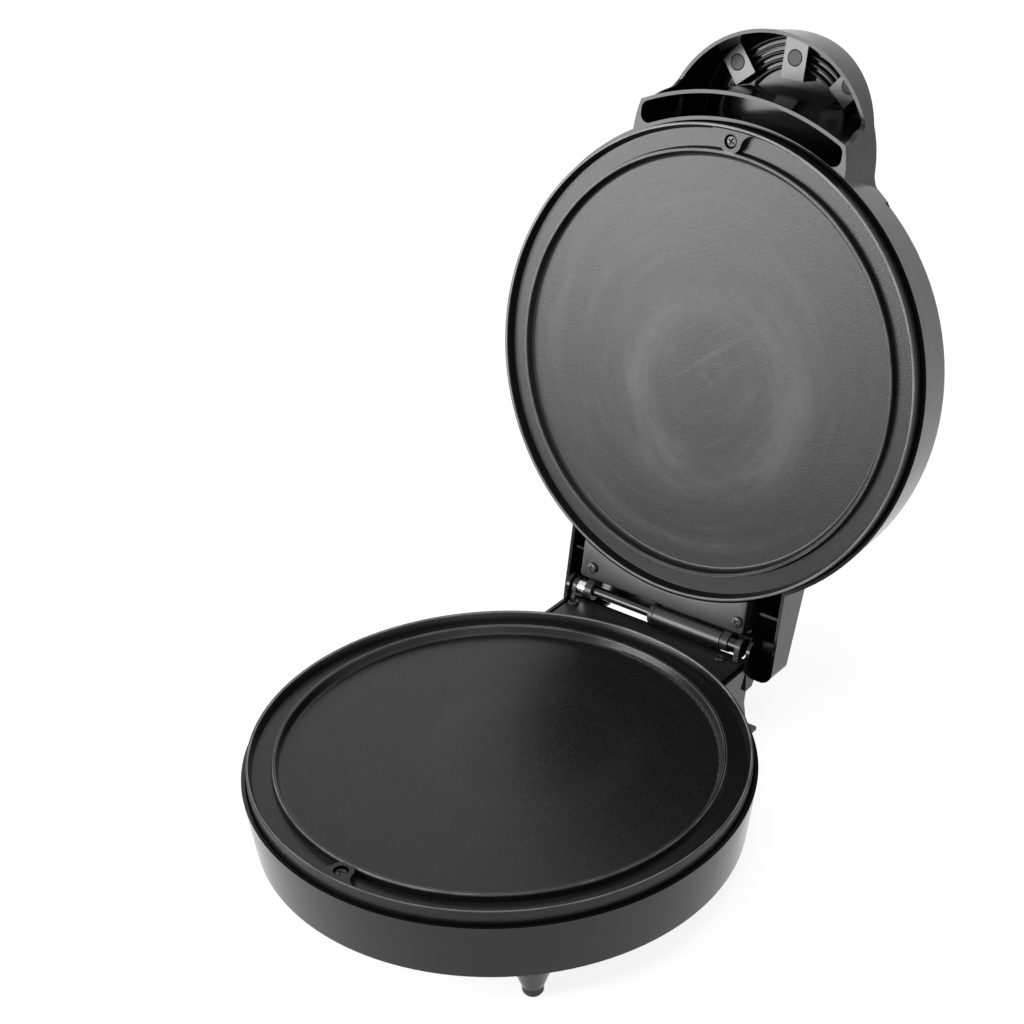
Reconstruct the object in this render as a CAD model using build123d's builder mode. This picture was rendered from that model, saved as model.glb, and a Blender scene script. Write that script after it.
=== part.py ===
from build123d import *
from math import cos, pi, radians, sin, tan
import os

# Electric pizza maker: a round clamshell cooker for one 12 inch pizza, its lid standing open.
# Millimetres, +Z up, +Y from the handle towards the hinge, z = 0 on the table.
# Every piece is drawn about the upright axis of the plates with the lid shut. The lid's
# pieces are then swung open about the hinge rod, and the whole is moved along Y so that the
# origin is under the middle of the open machine.

# Heights above the table, lid shut
BASE_BOTTOM = 24.0
BASE_RIM = 71.0
RIDGE_TOP = 80.0
PLATE_GAP = 2.0
MEETING_PLANE = RIDGE_TOP + PLATE_GAP / 2
LID_RIM = 2 * MEETING_PLANE - BASE_RIM
LID_SHOULDER = 130.0
PADDLE_TOP = 164.0

# Round housings
RIM_R = 171.3
BASE_FOOT_R = 165.0
SHOULDER_R = 165.5
WALL = 2.5
DOME_R = 1360.0

# Hinge
HINGE_Y = 189.7
HINGE_Z = 84.1
OPEN_ANGLE = 102.5
ROD_R = 4.0
RUNNING_GAP = 0.05
PLATE_AXIS_Y = -93.1

# Baking plates
WELL_R = 146.3
WELL_DEPTH = 6.0
RIDGE_R = 149.3
RIDGE_TOP_W = 1.6
GUTTER_IN_R = 151.6
GUTTER_OUT_R = 163.8
LIP_IN_R = 166.2
SKIRT_R = 167.8
SKIRT_BOTTOM = RIDGE_TOP - 14.0
PLATE_T = 4.0
LUG_Y = -157.6
LUG_R = 8.4
LUG_FLARE_R = 9.0
SCREW_HEAD_R = 4.1
SCREW_SINK = 3.4

# Hinge block of the lid and of the base
LID_BLOCK_W = 184.0
LID_BLOCK_Y = 214.0
LID_BLOCK_TOP = 116.5
LID_BLOCK_DRAFT = 7.0
BLOCK_CORNER_R = 9.0
BASE_BLOCK_W = 160.0
BASE_BLOCK_Y = 188.0
BASE_BLOCK_TOP = 77.0
BASE_BLOCK_BOTTOM = 31.0
BASE_BLOCK_DRAFT = 6.0
DECK_T = 2.5

# Handle and the raised paddle that runs over the lid
HANDLE_R = 84.6
HANDLE_Y = -147.0
HANDLE_DRAFT = 2.0
HANDLE_EDGE = 125.0
HANDLE_ROOT_ROUND = 14.0
PADDLE_HALF = 61.0
PADDLE_REAR_Y = 34.0
PADDLE_FRONT_Y = -165.0
PADDLE_FOOT_HALF = 98.0
PADDLE_FOOT_Z = 134.0
POCKET_OUT_R = 186.5
POCKET_END_X = 80.0
POCKET_WALL_R = 189.0
RIDGE_PITCH = 7.2
RIDGE_COUNT = 4

# Hinge plate under the lid's block and deck on the base's block
LID_PLATE_LEFT = -74.0
LID_PLATE_RIGHT = 68.0
LID_PLATE_BACK = 181.0
LID_PLATE_SCREWS = (-64.0, 64.0)
LID_SCREW_Y = 172.0
DECK_BACK = 185.0
DECK_SCREWS = ((-70.0, 176.0), (58.5, 176.5))
STAND_SCREWS = ((-50.0, 173.0), (50.0, 173.0))
KNUCKLE_R = 7.0
EAR_R = 9.5

# Inside the housings
REFLECTOR_LOW = 46.0
REFLECTOR_R = 151.0
REFLECTOR_POST_R = 92.0
ELEMENT_R = 105.0
ELEMENT_TUBE_R = 3.25
ELEMENT_GAP_ANGLE = 30.0
PAD_LOW = 152.0
PAD_SIDE_X = 45.0
PAD_SIDE_Y = -200.0
LENS_Y_NEAR = -90.0
LENS_Y_FAR = -150.0
LENS_HALF_W = 7.0
FOOT_X = 106.0
FOOT_Y = -105.0

# Cord
CORD_R = 3.4
CORD_X = 20.0
CORD_Z = 42.0
COIL_X = -75.0
COIL_Y = 412.0
COIL_PITCH = 9.0
COIL_OUT_R = 45.5
COIL_LOOSE_R = 64.0
LAYER_RISE = 7.25


def wall_radius(z):
    """Outer radius of the lid's round wall at height z."""
    return RIM_R - (RIM_R - SHOULDER_R) * (z - LID_RIM) / (LID_SHOULDER - LID_RIM)


def dome_z(distance):
    """Height of the lid's domed top at a distance from the plate axis."""
    return LID_SHOULDER + (SHOULDER_R**2 - distance**2) / (2 * DOME_R)


def block(x_low, x_high, y_low, y_high, z_low, z_high, mode=Mode.ADD):
    """A square block between two corners."""
    with Locations(((x_low + x_high) / 2, (y_low + y_high) / 2, (z_low + z_high) / 2)):
        Box(x_high - x_low, y_high - y_low, z_high - z_low, mode=mode)


def post(x, y, radius, z_low, z_high, mode=Mode.ADD):
    """An upright cylinder."""
    with Locations((x, y, (z_low + z_high) / 2)):
        Cylinder(radius, z_high - z_low, mode=mode)


def ring(section, mode=Mode.ADD):
    """A body turned about the plate axis from corners given as radius and height."""
    with BuildSketch(Plane.XZ) as profile:
        with BuildLine():
            Polyline(*section, close=True)
        make_face()
    revolve(profile.sketch, axis=Axis.Z, mode=mode)


def shut_half(part):
    """The same piece for the lid: mirrored in the plane where the plates meet."""
    return part.mirror(Plane.XY.offset(MEETING_PLANE))


def paddle_section(gap):
    """Half section of the paddle from its middle line out to its foot, side by height."""
    top = PADDLE_TOP - gap
    low = LID_RIM
    side = PADDLE_HALF + 2.5 - gap
    foot = PADDLE_FOOT_Z - gap
    with BuildSketch(Plane.XZ) as section:
        with BuildLine():
            Polyline(
                (0, low),
                (0, top),
                (side, top),
                (side + 14, foot + 3.5),
                (PADDLE_FOOT_HALF, foot),
                (PADDLE_FOOT_HALF, low),
                close=True,
            )
        make_face()
        rounded = section.vertices().sort_by(Axis.X)
        crest = [v for v in rounded if abs(v.X - side) < 0.01]
        bend = [v for v in rounded if abs(v.X - side - 14) < 0.01]
        fillet(crest, 7)
        fillet(bend, 22)
    return section.sketch


def lid_roof(gap):
    """Everything under the lid's top surface: dome, paddle and the slope over the hinge."""
    section = paddle_section(gap)
    with BuildPart() as roof:
        with BuildSketch(Plane.XZ):
            with BuildLine():
                reach = 240.0
                Line((0, LID_RIM), (0, dome_z(0) - gap))
                ThreePointArc(
                    (0, dome_z(0) - gap),
                    (reach / 2, dome_z(reach / 2) - gap),
                    (reach, dome_z(reach) - gap),
                )
                Line((reach, dome_z(reach) - gap), (reach, LID_RIM))
                Line((reach, LID_RIM), (0, LID_RIM))
            make_face()
        revolve(axis=Axis.Z)
        with Locations((0, PADDLE_FRONT_Y, 0)):
            add(revolve(section, axis=Axis.Z, mode=Mode.PRIVATE))
        with Locations((0, PADDLE_REAR_Y, 0)):
            add(revolve(section, axis=Axis.Z, mode=Mode.PRIVATE))
        with BuildSketch(Plane.XZ.offset(-PADDLE_REAR_Y)):
            add(section)
            mirror(section, about=Plane.YZ)
        extrude(amount=PADDLE_REAR_Y - PADDLE_FRONT_Y)
        slope_start = 118.0
        drop = dome_z(slope_start) - LID_BLOCK_TOP
        with BuildSketch(Plane.YZ):
            with BuildLine():
                Polyline(
                    (slope_start, dome_z(slope_start) - gap),
                    (LID_BLOCK_Y, LID_BLOCK_TOP - gap),
                    (LID_BLOCK_Y + 40, LID_BLOCK_TOP - gap - drop * 0.4),
                    (LID_BLOCK_Y + 40, PADDLE_TOP),
                    (slope_start, PADDLE_TOP),
                    close=True,
                )
            make_face()
        extrude(amount=240, both=True, mode=Mode.SUBTRACT)
    return roof.part


def lid_walls(gap):
    """The lid's upright walls in plan, closed on top: round body, handle and hinge block."""
    height = 90.0
    shrink = RIM_R - wall_radius(LID_RIM + height)
    with BuildPart() as walls:
        with BuildSketch(Plane.XZ):
            with BuildLine():
                Polyline(
                    (0, LID_RIM),
                    (RIM_R - gap, LID_RIM),
                    (RIM_R - gap - shrink, LID_RIM + height),
                    (0, LID_RIM + height),
                    close=True,
                )
            make_face()
        revolve(axis=Axis.Z)
        body_r = SHOULDER_R - gap
        tip_r = HANDLE_R - gap
        root = HANDLE_ROOT_ROUND + gap
        root_y = ((tip_r + root) ** 2 - (body_r + root) ** 2 - HANDLE_Y**2) / (-2 * HANDLE_Y)
        root_x = ((body_r + root) ** 2 - root_y**2) ** 0.5
        on_body = Vector(root_x, root_y) * (body_r / (body_r + root))
        middle = Vector(0, HANDLE_Y)
        on_tip = middle + (Vector(root_x, root_y) - middle) * (tip_r / (tip_r + root))
        tip_way = (on_tip - middle).rotate(Axis.Z, 90)
        with BuildSketch(Plane.XY.offset(LID_RIM)):
            with BuildLine():
                ThreePointArc((-on_tip.X, on_tip.Y), (0, HANDLE_Y - tip_r), (on_tip.X, on_tip.Y))
                TangentArc(
                    (on_tip.X, on_tip.Y), (on_body.X, on_body.Y), tangent=(tip_way.X, tip_way.Y)
                )
                Line((on_body.X, on_body.Y), (-on_body.X, on_body.Y))
                TangentArc(
                    (-on_tip.X, on_tip.Y), (-on_body.X, on_body.Y), tangent=(-tip_way.X, tip_way.Y)
                )
            make_face()
        extrude(amount=height, taper=HANDLE_DRAFT)
        with BuildSketch(Plane.XY.offset(LID_RIM)) as block:
            depth = LID_BLOCK_Y - gap
            with Locations((0, depth / 2)):
                Rectangle(LID_BLOCK_W - 2 * gap, depth)
            fillet(block.vertices().group_by(Axis.Y)[-1], BLOCK_CORNER_R - gap)
        extrude(amount=height, taper=LID_BLOCK_DRAFT)
    return walls.part


def lid_form(gap):
    """The lid as one filled form, all its outer surfaces drawn in by gap."""
    with BuildPart() as form:
        add(lid_walls(gap))
        add(lid_roof(gap), mode=Mode.INTERSECT)
    return form.part


def step_cutter():
    """What is cut away under the handle: all outside its root, above an S shaped step."""
    low = LID_RIM - 1
    root = POCKET_WALL_R
    with BuildPart() as cutter:
        with BuildSketch(Plane.XZ):
            with BuildLine():
                Line((root, low), (root, LID_RIM + 6))
                Spline(
                    (root, LID_RIM + 6),
                    (root + 3.5, LID_RIM + 20),
                    (root + 9.0, HANDLE_EDGE),
                    tangents=((0, 1), (1, 0.4)),
                )
                Line((root + 9.0, HANDLE_EDGE), (260, HANDLE_EDGE))
                Line((260, HANDLE_EDGE), (260, low))
                Line((260, low), (root, low))
            make_face()
        revolve(axis=Axis.Z)
        block(-300, 300, -150, 300, 0, 300, Mode.SUBTRACT)
    return cutter.part


def finger_pocket():
    """The crescent between the lid's round wall and the root of the handle."""
    with BuildPart() as pocket:
        with BuildSketch(Plane.XY.offset(LID_RIM - 1)) as plan:
            Circle(POCKET_OUT_R)
            Circle(RIM_R, mode=Mode.SUBTRACT)
            with Locations((0, -200)):
                Rectangle(2 * POCKET_END_X, 200, mode=Mode.INTERSECT)
            fillet(plan.vertices(), 6)
        extrude(amount=80)
    return pocket.part


def handle_webs(inner):
    """Walls inside the handle: the lid's round wall and the wall behind the finger pocket."""
    top = LID_RIM + 75
    with BuildPart() as webs:
        ring(
            (
                (RIM_R - WALL, LID_RIM),
                (POCKET_WALL_R, LID_RIM),
                (POCKET_WALL_R, top),
                (wall_radius(top) - WALL, top),
            )
        )
        block(-96, 96, -260, -118, LID_RIM, 200, Mode.INTERSECT)
        add(finger_pocket(), mode=Mode.SUBTRACT)
        add(inner, mode=Mode.INTERSECT)
    return webs.part


def lid_ribs(inner):
    """All that stands up inside the lid: hinge box, screw posts, handle pads and ridges."""
    roof = 170.0
    back = LID_PLATE_BACK + 0.5
    left = LID_PLATE_LEFT - 0.2
    right = LID_PLATE_RIGHT + 0.2
    side = 2.2
    ceiling = PADDLE_TOP - WALL
    with BuildPart() as ribs:
        block(left - side, right + side, back, back + WALL, LID_RIM + DECK_T + 1, roof)
        block(left - side, left, 152.5, back + WALL, LID_RIM, roof)
        block(right, right + side, 155.5, back + WALL, LID_RIM, roof)
        block(-LID_BLOCK_W / 2, left - side, 164, 166, LID_RIM + 3, roof)
        block(right + side, LID_BLOCK_W / 2, 164, 166, LID_RIM + 3, roof)
        for x in LID_PLATE_SCREWS:
            post(x, LID_SCREW_Y, 5, LID_RIM + DECK_T, roof)
        post(0, LUG_Y, 5.5, mirrored_z(RIDGE_TOP - WELL_DEPTH - PLATE_T), roof)
        for angle in (90, 210, 330):
            x = REFLECTOR_POST_R * cos(radians(angle))
            y = REFLECTOR_POST_R * sin(radians(angle))
            post(x, y, 4, mirrored_z(REFLECTOR_LOW), roof)
        with BuildSketch(Plane.XY.offset(ceiling - 2.2)):
            with Locations((0, PADDLE_FRONT_Y)):
                for radius in (33, 43, 53):
                    Circle(radius + 3)
                    Circle(radius, mode=Mode.SUBTRACT)
            with Locations((0, PADDLE_FRONT_Y - 50)):
                Rectangle(160, 100, mode=Mode.INTERSECT)
        extrude(amount=10)
        block(-9, 9, -224, -196, PAD_LOW, roof)
        with Locations(
            Location((-PAD_SIDE_X, PAD_SIDE_Y, (PAD_LOW + roof) / 2), (0, 0, -40)),
            Location((PAD_SIDE_X, PAD_SIDE_Y, (PAD_LOW + roof) / 2), (0, 0, 40)),
        ):
            Box(18, 26, roof - PAD_LOW)
        add(inner, mode=Mode.INTERSECT)
    return ribs.part


def paddle_ridges():
    """Low ridges that follow the paddle's rim and fade out over the middle of the lid."""
    fade_start = -60.0
    fade_end = 24.0
    height = 1.3
    with BuildPart() as ridges:
        for row in range(RIDGE_COUNT):
            half = PADDLE_HALF - 4.5 - row * RIDGE_PITCH
            with BuildSketch(Plane.XY.offset(PADDLE_TOP - 0.5)):
                with BuildLine():
                    for reach in (half, half - 3.6):
                        Line((reach, fade_end), (reach, PADDLE_FRONT_Y))
                        ThreePointArc(
                            (reach, PADDLE_FRONT_Y),
                            (0, PADDLE_FRONT_Y - reach),
                            (-reach, PADDLE_FRONT_Y),
                        )
                        Line((-reach, PADDLE_FRONT_Y), (-reach, fade_end))
                    Line((half, fade_end), (half - 3.6, fade_end))
                    Line((-half, fade_end), (-half + 3.6, fade_end))
                make_face()
            extrude(amount=0.5 + height, taper=32)
        with BuildSketch(Plane.YZ):
            with BuildLine():
                Polyline(
                    (fade_start, PADDLE_TOP + height),
                    (fade_end, PADDLE_TOP - 0.01),
                    (fade_end + 30, PADDLE_TOP - 0.01),
                    (fade_end + 30, PADDLE_TOP + 6),
                    (fade_start, PADDLE_TOP + 6),
                    close=True,
                )
            make_face()
        extrude(amount=100, both=True, mode=Mode.SUBTRACT)
    return ridges.part


def lens_outline(grow, y_near=LENS_Y_NEAR, y_far=LENS_Y_FAR):
    """Stadium of the two signal lenses, one face of a sketch."""
    middle = (y_near + y_far) / 2
    with Locations((0, middle)):
        SlotOverall(y_near - y_far + 2 * grow, 2 * (LENS_HALF_W + grow), rotation=90)


def mirrored_z(z):
    """Height in the lid of what stands at height z in the base."""
    return 2 * MEETING_PLANE - z


# Lid housing: the moulded shell with round wall, hinge block, paddle and handle
lid_inner = lid_form(WALL)
with BuildPart() as lid_housing:
    add(lid_form(0))
    add(lid_inner, mode=Mode.SUBTRACT)
    add(handle_webs(lid_inner))
    add(lid_ribs(lid_inner))
    add(step_cutter(), mode=Mode.SUBTRACT)
    add(paddle_ridges())
    block(-66, 62, 206, 240, LID_RIM - 5, 150, Mode.SUBTRACT)
    with BuildSketch(Plane.XY.offset(PADDLE_TOP + 1)):
        lens_outline(0.2)
    extrude(amount=-10, mode=Mode.SUBTRACT)
    for x in LID_PLATE_SCREWS:
        post(x, LID_SCREW_Y, 1.9, LID_RIM, LID_RIM + 14, Mode.SUBTRACT)
    lug_low = mirrored_z(RIDGE_TOP - WELL_DEPTH - PLATE_T)
    post(0, LUG_Y, 1.9, lug_low, lug_low + 12, Mode.SUBTRACT)


def base_form(gap):
    """The base as one filled form drawn in by gap; drawn in, it also runs on upwards."""
    rise = 30 if gap else 0
    flare = (RIM_R - BASE_FOOT_R) / (BASE_RIM - BASE_BOTTOM)
    chamfer_h = 4
    depth = BASE_BLOCK_Y - gap - 100
    with BuildPart() as form:
        ring(
            (
                (0, BASE_BOTTOM + gap),
                (BASE_FOOT_R - gap - chamfer_h, BASE_BOTTOM + gap),
                (BASE_FOOT_R - gap + flare * chamfer_h, BASE_BOTTOM + gap + chamfer_h),
                (RIM_R - gap, BASE_RIM),
                (0, BASE_RIM),
            )
        )
        if rise:
            post(0, 0, RIM_R - gap, BASE_RIM, BASE_RIM + rise)
        with BuildSketch(Plane.XY.offset(BASE_BLOCK_TOP)) as plan:
            with Locations((0, 100 + depth / 2)):
                Rectangle(BASE_BLOCK_W - 2 * gap, depth)
            fillet(plan.vertices().group_by(Axis.Y)[-1], 6 - gap)
        extrude(amount=-(BASE_BLOCK_TOP - BASE_BLOCK_BOTTOM - gap), taper=BASE_BLOCK_DRAFT)
        if rise:
            with BuildSketch(Plane.XY.offset(BASE_BLOCK_TOP)):
                with Locations((0, 100 + depth / 2)):
                    Rectangle(BASE_BLOCK_W - 2 * gap, depth)
            extrude(amount=rise)
    return form.part


# Base housing: the moulded tub with its hinge block, ears, feet and posts
with BuildPart() as base_housing:
    add(base_form(0))
    for side in (-1, 1):
        with BuildSketch(Plane.YZ.offset(side * (BASE_BLOCK_W / 2 - 1.5))):
            with BuildLine():
                Polyline(
                    (178, 70),
                    (178, HINGE_Z),
                    (199, HINGE_Z),
                    (200, 68),
                    (192, 65),
                    (186, 57),
                    (178, 57),
                    close=True,
                )
            make_face()
            with Locations((HINGE_Y, HINGE_Z)):
                Circle(EAR_R)
        extrude(amount=1.5, both=True)
        with BuildSketch(Plane.XY.offset(BASE_BOTTOM + 4)):
            with Locations((side * FOOT_X, FOOT_Y)):
                Circle(15)
        extrude(amount=-(BASE_BOTTOM + 4 - 7), taper=20)
    add(base_form(WALL), mode=Mode.SUBTRACT)
    floor = BASE_BOTTOM + WALL - 0.5
    mouth = BASE_BLOCK_W / 2 - WALL
    block(-mouth, mouth, 180, 200, BASE_BLOCK_TOP - 1, 90, Mode.SUBTRACT)
    post(0, LUG_Y, 5.5, floor, RIDGE_TOP - WELL_DEPTH - PLATE_T)
    for angle in (90, 210, 330):
        x = REFLECTOR_POST_R * cos(radians(angle))
        y = REFLECTOR_POST_R * sin(radians(angle))
        post(x, y, 4, floor, REFLECTOR_LOW)
    for x, y in DECK_SCREWS:
        post(x, y, 5, BASE_BLOCK_BOTTOM + WALL - 0.5, BASE_BLOCK_TOP - DECK_T)
        post(x, y, 1.9, BASE_BLOCK_TOP - 16, BASE_BLOCK_TOP, Mode.SUBTRACT)
    for x, y in STAND_SCREWS:
        post(x, y, 4.5, BASE_BLOCK_BOTTOM, BASE_BLOCK_BOTTOM + 9)
        post(x, y, 1.9, BASE_BLOCK_BOTTOM - 1, BASE_BLOCK_BOTTOM + 7.5, Mode.SUBTRACT)
    post(0, LUG_Y, 1.9, RIDGE_TOP - 24, RIDGE_TOP, Mode.SUBTRACT)
    with Locations(Location((CORD_X, 184.5, CORD_Z), (90, 0, 0))):
        Cylinder(10.5, 7)
        Cylinder(6.0, 20, mode=Mode.SUBTRACT)


def plate_lug(face_z):
    """Flared lug over the plate's gutter that takes the front screw."""
    lip_r = LIP_IN_R - 1
    centre = Vector(0, LUG_Y)
    near = LUG_R + LUG_FLARE_R
    far = lip_r - LUG_FLARE_R
    hub_y = (far**2 - near**2 + LUG_Y**2) / (2 * LUG_Y)
    hub_x = (far**2 - hub_y**2) ** 0.5
    hub = Vector(hub_x, hub_y)
    on_lip = hub * (lip_r / far)
    on_lug = centre + (hub - centre) * (LUG_R / near)
    bend = hub + ((on_lip + on_lug) * 0.5 - hub).normalized() * LUG_FLARE_R
    with BuildPart() as lug:
        with BuildSketch(Plane.XY.offset(face_z)):
            with BuildLine():
                ThreePointArc((on_lug.X, on_lug.Y), (0, LUG_Y + LUG_R), (-on_lug.X, on_lug.Y))
                ThreePointArc((on_lug.X, on_lug.Y), (bend.X, bend.Y), (on_lip.X, on_lip.Y))
                ThreePointArc((-on_lug.X, on_lug.Y), (-bend.X, bend.Y), (-on_lip.X, on_lip.Y))
                ThreePointArc((on_lip.X, on_lip.Y), (0, -lip_r), (-on_lip.X, on_lip.Y))
            make_face()
        extrude(amount=-(WELL_DEPTH + PLATE_T))
    return lug.part


def baking_plate():
    """Cast baking plate: flat well, raised ridge, gutter, lip, skirt and front screw lug."""
    well = RIDGE_TOP - WELL_DEPTH
    under = well - PLATE_T
    gutter = well + 0.3
    lip = RIDGE_TOP + 0.6
    with BuildPart() as plate:
        with BuildSketch(Plane.XZ) as section:
            with BuildLine():
                Polyline(
                    (0, under),
                    (0, well),
                    (WELL_R, well),
                    (RIDGE_R - RIDGE_TOP_W / 2, RIDGE_TOP),
                    (RIDGE_R + RIDGE_TOP_W / 2, RIDGE_TOP),
                    (GUTTER_IN_R, gutter),
                    (GUTTER_OUT_R, gutter),
                    (LIP_IN_R, lip),
                    (SKIRT_R, lip),
                    (SKIRT_R, SKIRT_BOTTOM),
                    (SKIRT_R - 2.4, SKIRT_BOTTOM),
                    (SKIRT_R - 2.4, under),
                    close=True,
                )
            make_face()
            corner = [v for v in section.vertices() if abs(v.X - WELL_R) < 0.01]
            fillet(corner, 2.5)
        revolve(axis=Axis.Z)
        add(plate_lug(RIDGE_TOP))
        post(0, LUG_Y, 4.7, RIDGE_TOP - SCREW_SINK, RIDGE_TOP + 2, Mode.SUBTRACT)
        post(0, LUG_Y, 2.2, under - 1, RIDGE_TOP, Mode.SUBTRACT)
    return plate.part


def pan_screw(x, y, seat_z, shank, up=True):
    """Cross recess pan head screw with its head on seat_z; up is the way the head faces."""
    way = 1 if up else -1
    with BuildPart() as screw:
        with BuildSketch(Plane.XY.offset(seat_z)):
            with Locations((x, y)):
                Circle(SCREW_HEAD_R)
        extrude(amount=2.4 * way, taper=18)
        post(x, y, 1.75, min(seat_z, seat_z - shank * way), max(seat_z, seat_z - shank * way))
        for length, width in ((4.6, 1.1), (1.1, 4.6)):
            with Locations((x, y, seat_z + 2.4 * way)):
                Box(length, width, 2.6, mode=Mode.SUBTRACT)
    return screw.part


with BuildPart() as lower_plate:
    add(baking_plate())

with BuildPart() as upper_plate:
    add(shut_half(lower_plate.part))

with BuildPart() as lower_plate_screw:
    add(pan_screw(0, LUG_Y, RIDGE_TOP - SCREW_SINK, 16))

with BuildPart() as upper_plate_screw:
    add(pan_screw(0, LUG_Y, mirrored_z(RIDGE_TOP - SCREW_SINK), 16, up=False))

# Reflector pan that keeps the heat at the plate
with BuildPart() as lower_reflector:
    low = REFLECTOR_LOW
    ring(
        (
            (0, low),
            (137, low),
            (145, low + 13),
            (REFLECTOR_R, low + 13),
            (REFLECTOR_R, low + 13.8),
            (144.5, low + 13.8),
            (136.5, low + 0.8),
            (0, low + 0.8),
        )
    )

with BuildPart() as upper_reflector:
    add(shut_half(lower_reflector.part))

# Tubular heating element, bent to a ring that is open towards the hinge
element_z = RIDGE_TOP - WELL_DEPTH - PLATE_T - ELEMENT_TUBE_R - 0.02
pin_start = 90 + ELEMENT_GAP_ANGLE / 2
pin_places = []
for side in (1, -1):
    turn = radians(90 + side * ELEMENT_GAP_ANGLE / 2)
    spot = Vector(ELEMENT_R * cos(turn), ELEMENT_R * sin(turn), element_z)
    way = Vector(side * sin(turn), -side * cos(turn), 0)
    pin_places.append(Plane(origin=spot, z_dir=way))

with BuildPart() as lower_element:
    with BuildSketch(Plane.XZ):
        with Locations((ELEMENT_R, element_z)):
            Circle(ELEMENT_TUBE_R)
    revolve(axis=Axis.Z, revolution_arc=360 - ELEMENT_GAP_ANGLE)
lower_element.part = lower_element.part.rotate(Axis.Z, pin_start)
with lower_element:
    for place in pin_places:
        with BuildSketch(place):
            Circle(1.4)
        extrude(amount=15)

with BuildPart() as lower_insulators:
    for place in pin_places:
        with BuildSketch(place):
            Circle(3.2)
            Circle(1.4, mode=Mode.SUBTRACT)
        extrude(amount=7)

# Clamps that hold the element against the plate
with BuildPart() as lower_clamps:
    under = RIDGE_TOP - WELL_DEPTH - PLATE_T
    inside = ELEMENT_TUBE_R + 0.3
    strap = 1.2
    low = element_z - ELEMENT_TUBE_R - 0.02
    with BuildSketch(Plane.XZ) as section:
        with BuildLine():
            Polyline(
                (ELEMENT_R - inside - 9, under),
                (ELEMENT_R - inside, under),
                (ELEMENT_R - inside, low),
                (ELEMENT_R + inside, low),
                (ELEMENT_R + inside, under),
                (ELEMENT_R + inside + 9, under),
                (ELEMENT_R + inside + 9, under - strap),
                (ELEMENT_R + inside + strap, under - strap),
                (ELEMENT_R + inside + strap, low - strap),
                (ELEMENT_R - inside - strap, low - strap),
                (ELEMENT_R - inside - strap, under - strap),
                (ELEMENT_R - inside - 9, under - strap),
                close=True,
            )
        make_face()
    clamp = extrude(amount=5, both=True, mode=Mode.PRIVATE)
    with PolarLocations(0, 3, start_angle=150):
        add(clamp)

with BuildPart() as upper_element:
    add(shut_half(lower_element.part))

with BuildPart() as upper_insulators:
    add(shut_half(lower_insulators.part))

with BuildPart() as upper_clamps:
    add(shut_half(lower_clamps.part))

# Thermostat on the back of the upper plate, thermal fuse on the lower reflector
with BuildPart() as thermostat:
    high = mirrored_z(RIDGE_TOP - WELL_DEPTH - PLATE_T)
    post(0, 30, 8.5, high, high + 5)
    post(0, 30, 7.4, high + 5, high + 9)
    block(-14, 14, 27, 33, high, high + 1)
    block(-6.5, -4.5, 27, 33, high + 9, high + 15)
    block(4.5, 6.5, 27, 33, high + 9, high + 15)

with BuildPart() as thermal_fuse:
    top = REFLECTOR_LOW + 0.8
    block(-13, 13, -44, -36, top, top + 1)
    block(-9, 9, -43.5, -36.5, top + 1, top + 3)
    with Locations(Location((0, -40, top + 3.6), (0, 90, 0))):
        Cylinder(2.4, 30)

# Terminal block on the floor of the base's block
with BuildPart() as terminal_block:
    low = BASE_BLOCK_BOTTOM + WALL
    block(-45, -5, 160, 174, low, low + 12)
    for x in (-40, -30, -20, -10):
        post(x, 167, 2.2, low + 6, low + 13, Mode.SUBTRACT)


def hinge_leaf(left, right, back, low, front_r):
    """Flat leaf between the round rim and the hinge, low face at low."""
    with BuildSketch(Plane.XY.offset(low)) as leaf:
        with Locations(((left + right) / 2, (120 + back) / 2)):
            Rectangle(right - left, back - 120)
        Circle(front_r, mode=Mode.SUBTRACT)
    extrude(leaf.sketch, amount=DECK_T)


def knuckle(x_low, x_high, foot):
    """Hinge knuckle: a barrel round the rod joined to two points of the leaf."""
    with BuildSketch(Plane.YZ.offset(x_low)) as barrel:
        with Locations((HINGE_Y, HINGE_Z)):
            Circle(KNUCKLE_R)
        with BuildLine():
            Polyline(*foot, close=True)
        make_face()
        make_hull()
    extrude(barrel.sketch, amount=x_high - x_low)


def rod_bore(radius):
    """The bore through every knuckle."""
    with Locations(Location((0, HINGE_Y, HINGE_Z), (0, 90, 0))):
        Cylinder(radius, 240, mode=Mode.SUBTRACT)


with BuildPart() as lid_hinge_plate:
    hinge_leaf(LID_PLATE_LEFT, LID_PLATE_RIGHT, LID_PLATE_BACK, LID_RIM, RIM_R - 2)
    foot = ((176.7, LID_RIM), (LID_PLATE_BACK, LID_RIM), (LID_PLATE_BACK, LID_RIM + DECK_T))
    for x_low, x_high in ((-66, -60), (53.5, 59.5)):
        knuckle(x_low, x_high, foot)
    rod_bore(ROD_R + RUNNING_GAP)
    for x in LID_PLATE_SCREWS:
        post(x, LID_SCREW_Y, 2.2, LID_RIM - 5, LID_RIM + 5, Mode.SUBTRACT)

with BuildPart() as base_hinge_deck:
    deck_low = BASE_BLOCK_TOP - DECK_T
    hinge_leaf(-BASE_BLOCK_W / 2 + 5, BASE_BLOCK_W / 2 - 5, DECK_BACK, deck_low, RIM_R - 2)
    top = BASE_BLOCK_TOP
    for x_low, x_high in ((-76.6, -73), (66.5, 70.5)):
        knuckle(x_low, x_high, ((180.7, top), (DECK_BACK, top), (DECK_BACK, top + 0.2)))
    rod_bore(ROD_R)
    for x, y in DECK_SCREWS:
        post(x, y, 2.2, deck_low - 1, BASE_BLOCK_TOP + 1, Mode.SUBTRACT)

with BuildPart() as lid_hinge_screws:
    for x in LID_PLATE_SCREWS:
        add(pan_screw(x, LID_SCREW_Y, LID_RIM, 14, up=False))

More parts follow.
